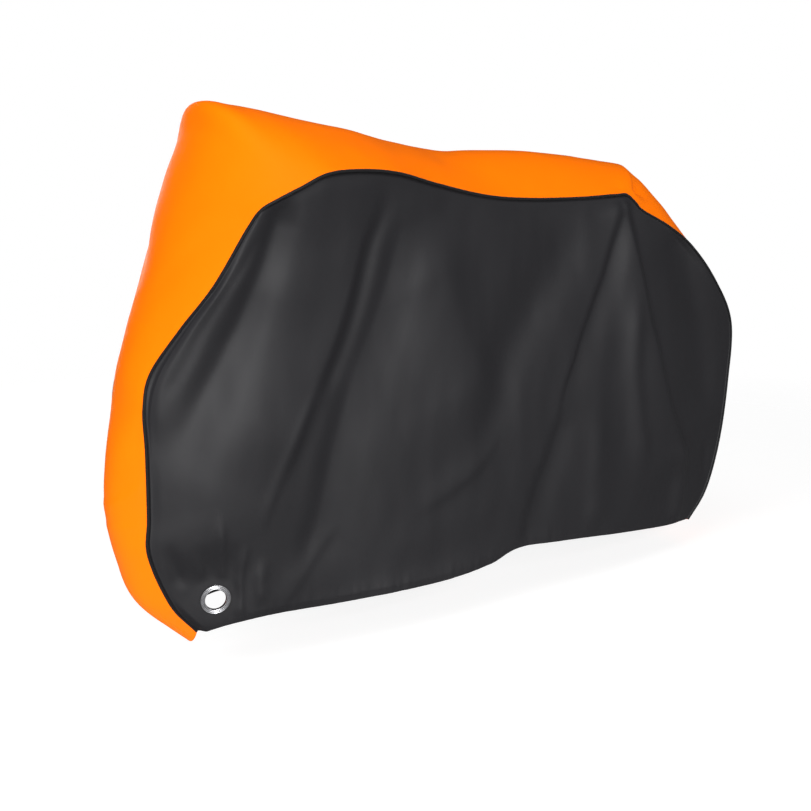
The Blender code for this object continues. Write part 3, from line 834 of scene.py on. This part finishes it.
def makeEyelet(prefix, side):
    hole, barrel, rim, gap = eyelet["hole"], eyelet["barrel"], eyelet["rim"], eyelet["gap"]
    high = -eyelet["clothDepth"] - gap
    low = high - eyelet["washer"]
    profile = [(barrel, low), (barrel, gap), (rim - eyelet["underRim"], gap)]
    profile += arcPoints(rim, gap, *eyelet["roll"])
    profile += arcPoints(rim, gap, *eyelet["groove"])
    profile += arcPoints(hole, gap, *eyelet["lip"])
    profile += [(hole, gap), (hole, low)]
    flange = turnedRings(prefix + "EyeletFlange", profile, side)
    outer = rim - eyelet["washerInset"]
    bevelIn, bevelUp = eyelet["washerBevel"]
    ring = [
        (barrel + gap, low), (outer - bevelIn, low), (outer, low + bevelUp),
        (outer, high), (barrel + gap, high),
    ]
    return flange, turnedRings(prefix + "EyeletWasher", ring, side)


# Piping: a round cord in its bias tape, along the seam
piping = {"sides": 12, "points": 900, "uneven": 0.00012, "unevenSize": 0.02}


def makePiping(name, side):
    seam = atShares(seamLine, np.linspace(0, 1, piping["points"]))
    seam[:, 1] *= side
    run = unit(np.gradient(seam, axis=0))
    out = np.array([0.0, side, 0.0])
    first = unit(out - (out * run).sum(axis=1)[:, None] * run)
    second = np.cross(run, first)
    sides = piping["sides"]
    turns = np.arange(sides) * 2 * math.pi / sides
    radius = cover["pipingRadius"] + softNoise(seam, piping["unevenSize"], 3.0 + side) * piping["uneven"]
    rings = [seam + (math.cos(turn) * first + math.sin(turn) * second) * radius[:, None] for turn in turns]
    points = np.stack(rings, axis=1)
    count = len(points)
    numbers = np.arange(count * sides).reshape(count, sides)
    faces = []
    for k in range(sides):
        faces += quads(numbers[:, k], numbers[:, (k + 1) % sides], False)
    faces += [tuple(numbers[0][::-1]), tuple(numbers[-1])]
    along, around = lengthsOf(seam), turns * cover["pipingRadius"]
    metres = np.stack([np.repeat(along, sides), np.tile(around, count)], axis=1)
    made = clothMesh(name, points.reshape(-1, 3), faces, metres, blackPiping)
    selectOnly(made)
    bpy.ops.object.mode_set(mode="EDIT")
    bpy.ops.mesh.select_all(action="SELECT")
    bpy.ops.mesh.normals_make_consistent(inside=False)
    bpy.ops.object.mode_set(mode="OBJECT")
    return made


# Centre strip
strip = {
    "along": 690,
    "across": 54,
    "spread": 0.35,  # how much farther apart its rows lie in the middle
    "samples": 301,  # across each section, to measure it
    # how late the section falls to its seams: above, below on the tail, and between which heights it changes
    "bow": (2.2, 1.5, 0.90, 0.80),
    "tailStart": 0.4,
    "foldStart": 0.018,
    "drape": 0.0020,
    "drapeSizes": (0.12, 0.05),
    "drapeSeeds": (21.0, 27.0),
    "drapeSecond": 0.4,
}
stripFolds = [
    # name, route of metres along the middle and metres across it (near side -), then as above
    ("low fold",
     [(0.352, 0.11), (0.374, -0.02), (0.404, -0.11)],
     (0.018, 0.02), (0.01, 0.01), 0.0018, 2.0, (0.08, 0.03)),
    ("lower fold",
     [(0.316, 0.08), (0.326, -0.03), (0.322, -0.1)],
     (0.012, 0.013), (0.008, 0.008), 0.001, 2.0, (0.06, 0.03)),
    ("peak crease",
     [(2.308, 0.0), (2.322, -0.05), (2.352, -0.135)],
     (0.012, 0.014), (0.04, 0.036), -0.012, 2.0, (0.035, 0.02)),
    ("brow line",
     [(0.745, 0.06), (0.735, -0.03), (0.722, -0.12)],
     (0.006, 0.006), (0.004, 0.004), -0.0012, 1.8, (0.05, 0.03)),
    ("fall crease",
     [(1.3, -0.13), (1.42, -0.095), (1.56, -0.05)],
     (0.02, 0.03), (0.03, 0.04), 0.003, 2.0, (0.08, 0.1)),
    ("waist crease",
     [(1.64, -0.11), (1.73, -0.04), (1.82, 0.05)],
     (0.02, 0.024), (0.034, 0.036), -0.003, 2.0, (0.08, 0.08)),
    ("chest crease",
     [(0.92, -0.17), (0.84, -0.08), (0.76, -0.02)],
     (0.02, 0.03), (0.034, 0.04), -0.0025, 2.0, (0.06, 0.08)),
    ("far chest",
     [(0.93, 0.18), (0.85, 0.08), (0.78, 0.03)],
     (0.016, 0.026), (0.03, 0.034), -0.004, 2.0, (0.06, 0.08)),
    ("tail crease",
     [(2.42, 0.08), (2.56, 0.02), (2.7, -0.03)],
     (0.014, 0.02), (0.024, 0.03), -0.003, 2.0, (0.08, 0.1)),
    ("tail fold",
     [(3.0, -0.07), (3.03, 0.0), (3.05, 0.08)],
     (0.018, 0.018), (0.01, 0.01), 0.0045, 2.0, (0.04, 0.04)),
    ("heel fold",
     [(3.24, -0.07), (3.225, 0.0), (3.24, 0.07)],
     (0.016, 0.016), (0.01, 0.01), -0.0045, 2.0, (0.04, 0.04)),
]


def stripGridOf():  # rows from the near seam to the far one, with their metres along and across
    even = atShares(dense, np.linspace(0, 1, strip["along"] + 1))
    middle, seam = even[:, [0, 1]], even[:, [2, 3, 4]]
    full, tail, high, low = strip["bow"]
    height = seam[:, 2] + cover["groundToTop"]
    onTail = np.where(middle[:, 0] > strip["tailStart"], smoothStep((high - height) / (high - low)), 0)
    bow = full + (tail - full) * onTail
    side = np.linspace(-1, 1, strip["samples"])[:, None]
    drop = np.abs(side) ** bow[None, :]
    x = middle[None, :, 0] + (seam[None, :, 0] - middle[None, :, 0]) * drop
    z = middle[None, :, 1] + (seam[None, :, 2] - middle[None, :, 1]) * drop
    fine = np.stack([x, side * seam[None, :, 1], z], axis=-1)
    share = np.linspace(-1, 1, strip["across"] + 1)
    share = 0.5 + 0.5 * share * (1 + strip["spread"] - strip["spread"] * share**2)
    grid = np.empty((len(share), fine.shape[1], 3))
    wide = np.empty(grid.shape[:2])
    for c in range(fine.shape[1]):
        reach = lengthsOf(fine[:, c])
        want = cover["seamBack"] + (reach[-1] - 2 * cover["seamBack"]) * share
        wide[:, c] = want - reach[-1] / 2
        grid[:, c] = atPlaces(fine[:, c], reach, want)
    along = np.broadcast_to(lengthsOf(middle)[None, :], wide.shape)
    return grid, along, wide


def stripEnd(grid, end):  # as lines that run to the hem at the strip's start (0) or end (-1)
    lines = grid.transpose(1, 0, 2)
    return lines[::-1] if end == 0 else lines


def makeStrip(name):
    grid, along, wide = stripGridOf()
    rows, columns = grid.shape[:2]
    normals = gridNormals(grid)
    if normals[rows // 2, columns // 2, 2] < 0:
        normals = -normals
    inner = np.minimum(wide - wide[0], wide[-1] - wide)
    pairs = zip(strip["drapeSizes"], strip["drapeSeeds"])
    large, small = [softNoise(grid, size, seed) for size, seed in pairs]
    uneven = large + strip["drapeSecond"] * small
    rise = foldHeights(along, wide, stripFolds) + strip["drape"] * uneven
    grid = grid + normals * (smoothStep(inner / strip["foldStart"]) * rise)[..., None]
    normals = gridNormals(grid) * np.sign((gridNormals(grid) * normals).sum(axis=-1))[..., None]
    points, numbers, faces = gridFaces(grid, False)
    metres = np.stack([along, wide], axis=-1)
    allMetres = [metres.reshape(-1, 2)]
    for edge, inside in ((0, 1), (-1, -2)):
        _, across = pullBack(grid[edge], grid[inside], 0)
        turned = turnedEdge(grid[edge], across, normals[edge])
        addRows(points, faces, numbers[edge], turned, edge == 0)
        allMetres += [metres[edge]] * len(turned)
    for end in (0, -1):
        turned = turnedHem(stripEnd(grid, end), stripEnd(normals, end))
        addRows(points, faces, numbers[:, end], turned, end == -1)
        allMetres += [metres[:, end]] * len(turned)
    made = clothMesh(name, points, faces, np.concatenate(allMetres), orangeCloth)
    thickened(made)
    print(name, len(points), "points")
    return made, grid, normals


# Stitches: one low capsule, copied along a hem into a single mesh
stitch = {
    "pitch": 0.0036, "length": 0.0027, "radius": 0.00028, "sides": 6,
    "profile": [(-0.50, 0.15), (-0.38, 0.85), (0.38, 0.85), (0.50, 0.15)],  # shares of length and radius
    "lift": 0.25,  # share of the radius
    "margin": 0.006,
    "ahead": 0.001,  # from a stitch to the point it is turned towards
    "ends": slice(2, -2),  # the hem's points that carry them
}


def makeStitches(name, line, ways, material):
    line, ways = line[stitch["ends"]], ways[stitch["ends"]]
    lengths = lengthsOf(line)
    places = np.arange(stitch["margin"], lengths[-1] - stitch["margin"], stitch["pitch"])
    spots = atPlaces(line, lengths, places)
    ups = unit(atPlaces(ways, lengths, places))
    runWays = unit(atPlaces(line, lengths, places + stitch["ahead"]) - spots)
    rightWays = np.cross(runWays, ups)
    sides, profile = stitch["sides"], stitch["profile"]
    turns = np.arange(sides) * 2 * math.pi / sides
    points, faces = [], []
    for spot, run, up, right in zip(spots, runWays, ups, rightWays):
        base = len(points)
        for place, wide in profile:
            for turn in turns:
                arm = (math.cos(turn) * right + math.sin(turn) * up) * wide + up * stitch["lift"]
                points.append(spot + run * place * stitch["length"] + arm * stitch["radius"])
        for ring in range(len(profile) - 1):
            for k in range(sides):
                a = base + ring * sides + k
                b = base + ring * sides + (k + 1) % sides
                faces.append((a, b, b + sides, a + sides))
        faces.append(tuple(base + k for k in reversed(range(sides))))
        faces.append(tuple(base + (len(profile) - 1) * sides + k for k in range(sides)))
    return clothMesh(name, points, faces, np.array(points)[:, [0, 2]], material)


# The pieces, the solids they stand for and their sheets
def standFor(made, node):
    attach(made, "root")
    if node:
        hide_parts(node)


stripPiece, stripGrid, stripNormals = makeStrip("centreStripCloth")
standFor(stripPiece, "centre_strip")
for label, end in (("Front", 0), ("Tail", -1)):
    line, ways = hemStitchLine(stripEnd(stripGrid, end), stripEnd(stripNormals, end))
    thread = makeStitches("strip" + label + "Stitches", line, ways, orangeThread)
    standFor(thread, None)
print("centre strip made")

for prefix, side, folds, seed in (("near", -1, nearFolds, 2.0), ("far", 1, farFolds, 8.0)):
    cloth, grid, normals = sidePanel(prefix + "PanelCloth", side, folds, seed)
    standFor(cloth, prefix + "_side_panel")
    cord = makePiping(prefix + "SeamPiping", side)
    standFor(cord, prefix + "_piping")
    flange, washer = makeEyelet(prefix, side)
    standFor(flange, prefix + "_eyelet")
    standFor(washer, prefix + "_eyelet_washer")
    thread = makeStitches(prefix + "HemStitches", *hemStitchLine(grid, normals), darkThread)
    standFor(thread, None)
    print(prefix, "side made")


# Studio: a pale floor that thins out into the white around it, soft lights and the camera
studio = {
    "floor": (0.40, 0.40, 0.40, 1),
    "floorRough": 0.9,
    "floorGloss": 0.1,
    "floorGlow": 0.78,
    "floorReach": 3.4,
    "floorEdge": 0.1,  # fully clear from this far inside its rim
    "floorFade": 0.6,  # how fast it fills in from there
    "world": 0.12,
    "lights": [
        # name, place, aimed at, width, height, power, whether glossy cloth shows it
        ("keyLight", (-1.42, -5.69, 0.85), (0, 0, -0.4), 1.6, 3.8, 345, True),
        ("noseLight", (-4.0, -0.6, 0.6), (-0.7, 0, -0.4), 2.2, 2.6, 72, False),
        ("topLight", (-1.6, -1.0, 2.6), (-0.4, 0, -0.2), 2.4, 2.0, 48, False),
        ("backLight", (0.2, 5.9, 0.2), (0, 0, -0.4), 1.6, 3.0, 120, True),
    ],
}


def makeFloor():
    bpy.ops.object.select_all(action="DESELECT")
    bpy.ops.mesh.primitive_circle_add(
        vertices=96, radius=studio["floorReach"], fill_type="NGON", location=(0, 0, -cover["groundToTop"])
    )
    floor = bpy.context.object
    floor.name = "paleFloor"
    pale, tree, shader = newMaterial("paleFloor", {
        "Base Color": studio["floor"],
        "Roughness": studio["floorRough"],
        "Specular IOR Level": studio["floorGloss"],
        "Emission Color": (1, 1, 1, 1), "Emission Strength": studio["floorGlow"],
    })
    space = tree.add("ShaderNodeTexCoord", output=3)
    away = tree.add("ShaderNodeVectorMath", {"operation": "LENGTH"}, {0: space}, 1)
    inner = tree.add("ShaderNodeMath", {"operation": "MULTIPLY", "use_clamp": True}, {
        0: studio["floorReach"] - studio["floorEdge"] - away, 1: studio["floorFade"],
    })
    plug(inner, shader, "Alpha")
    floor.data.materials.append(pale)
    floor.visible_glossy = False


def makeLights():
    for name, place, target, wide, high, power, glossy in studio["lights"]:
        bpy.ops.object.light_add(type="AREA", location=place)
        lamp = bpy.context.object
        lamp.name = name
        lamp.data.shape = "RECTANGLE"
        lamp.data.size = wide
        lamp.data.size_y = high
        lamp.data.energy = power
        lamp.rotation_mode = "QUATERNION"
        lamp.rotation_quaternion = (Vector(target) - Vector(place)).to_track_quat("-Z", "Y")
        lamp.visible_glossy = glossy
    world = bpy.data.worlds.new("studioWorld")
    world.use_nodes = True
    bpy.context.scene.world = world
    back = world.node_tree.nodes["Background"]
    back.inputs["Color"].default_value = (1, 1, 1, 1)
    # white behind the cover, and dimmer as a light
    seen = Wire(world.node_tree).add("ShaderNodeLightPath")
    plug(seen * (1 - studio["world"]) + studio["world"], back, "Strength")
    bpy.context.scene.view_settings.view_transform = "Standard"


camera = {
    "place": (-1.698, -2.105, -0.0075), "azimuth": -35.0, "elevation": 12.182,
    "focal": 1162.06, "frame": 811,  # pixels
    "sensor": 36,  # millimetres
}


def makeCamera():
    azimuth, elevation = math.radians(camera["azimuth"]), math.radians(camera["elevation"])
    back = Vector((
        math.sin(azimuth) * math.cos(elevation),
        -math.cos(azimuth) * math.cos(elevation),
        math.sin(elevation),
    ))
    right = Vector((math.cos(azimuth), math.sin(azimuth), 0))
    bpy.ops.object.camera_add(location=camera["place"])
    made = bpy.context.object
    made.rotation_mode = "QUATERNION"
    made.rotation_quaternion = Matrix((right, back.cross(right), back)).transposed().to_quaternion()
    made.data.sensor_width = camera["sensor"]
    made.data.lens = camera["focal"] / camera["frame"] * camera["sensor"]
    bpy.context.scene.camera = made


makeFloor()
makeLights()
makeCamera()
print("studio made")
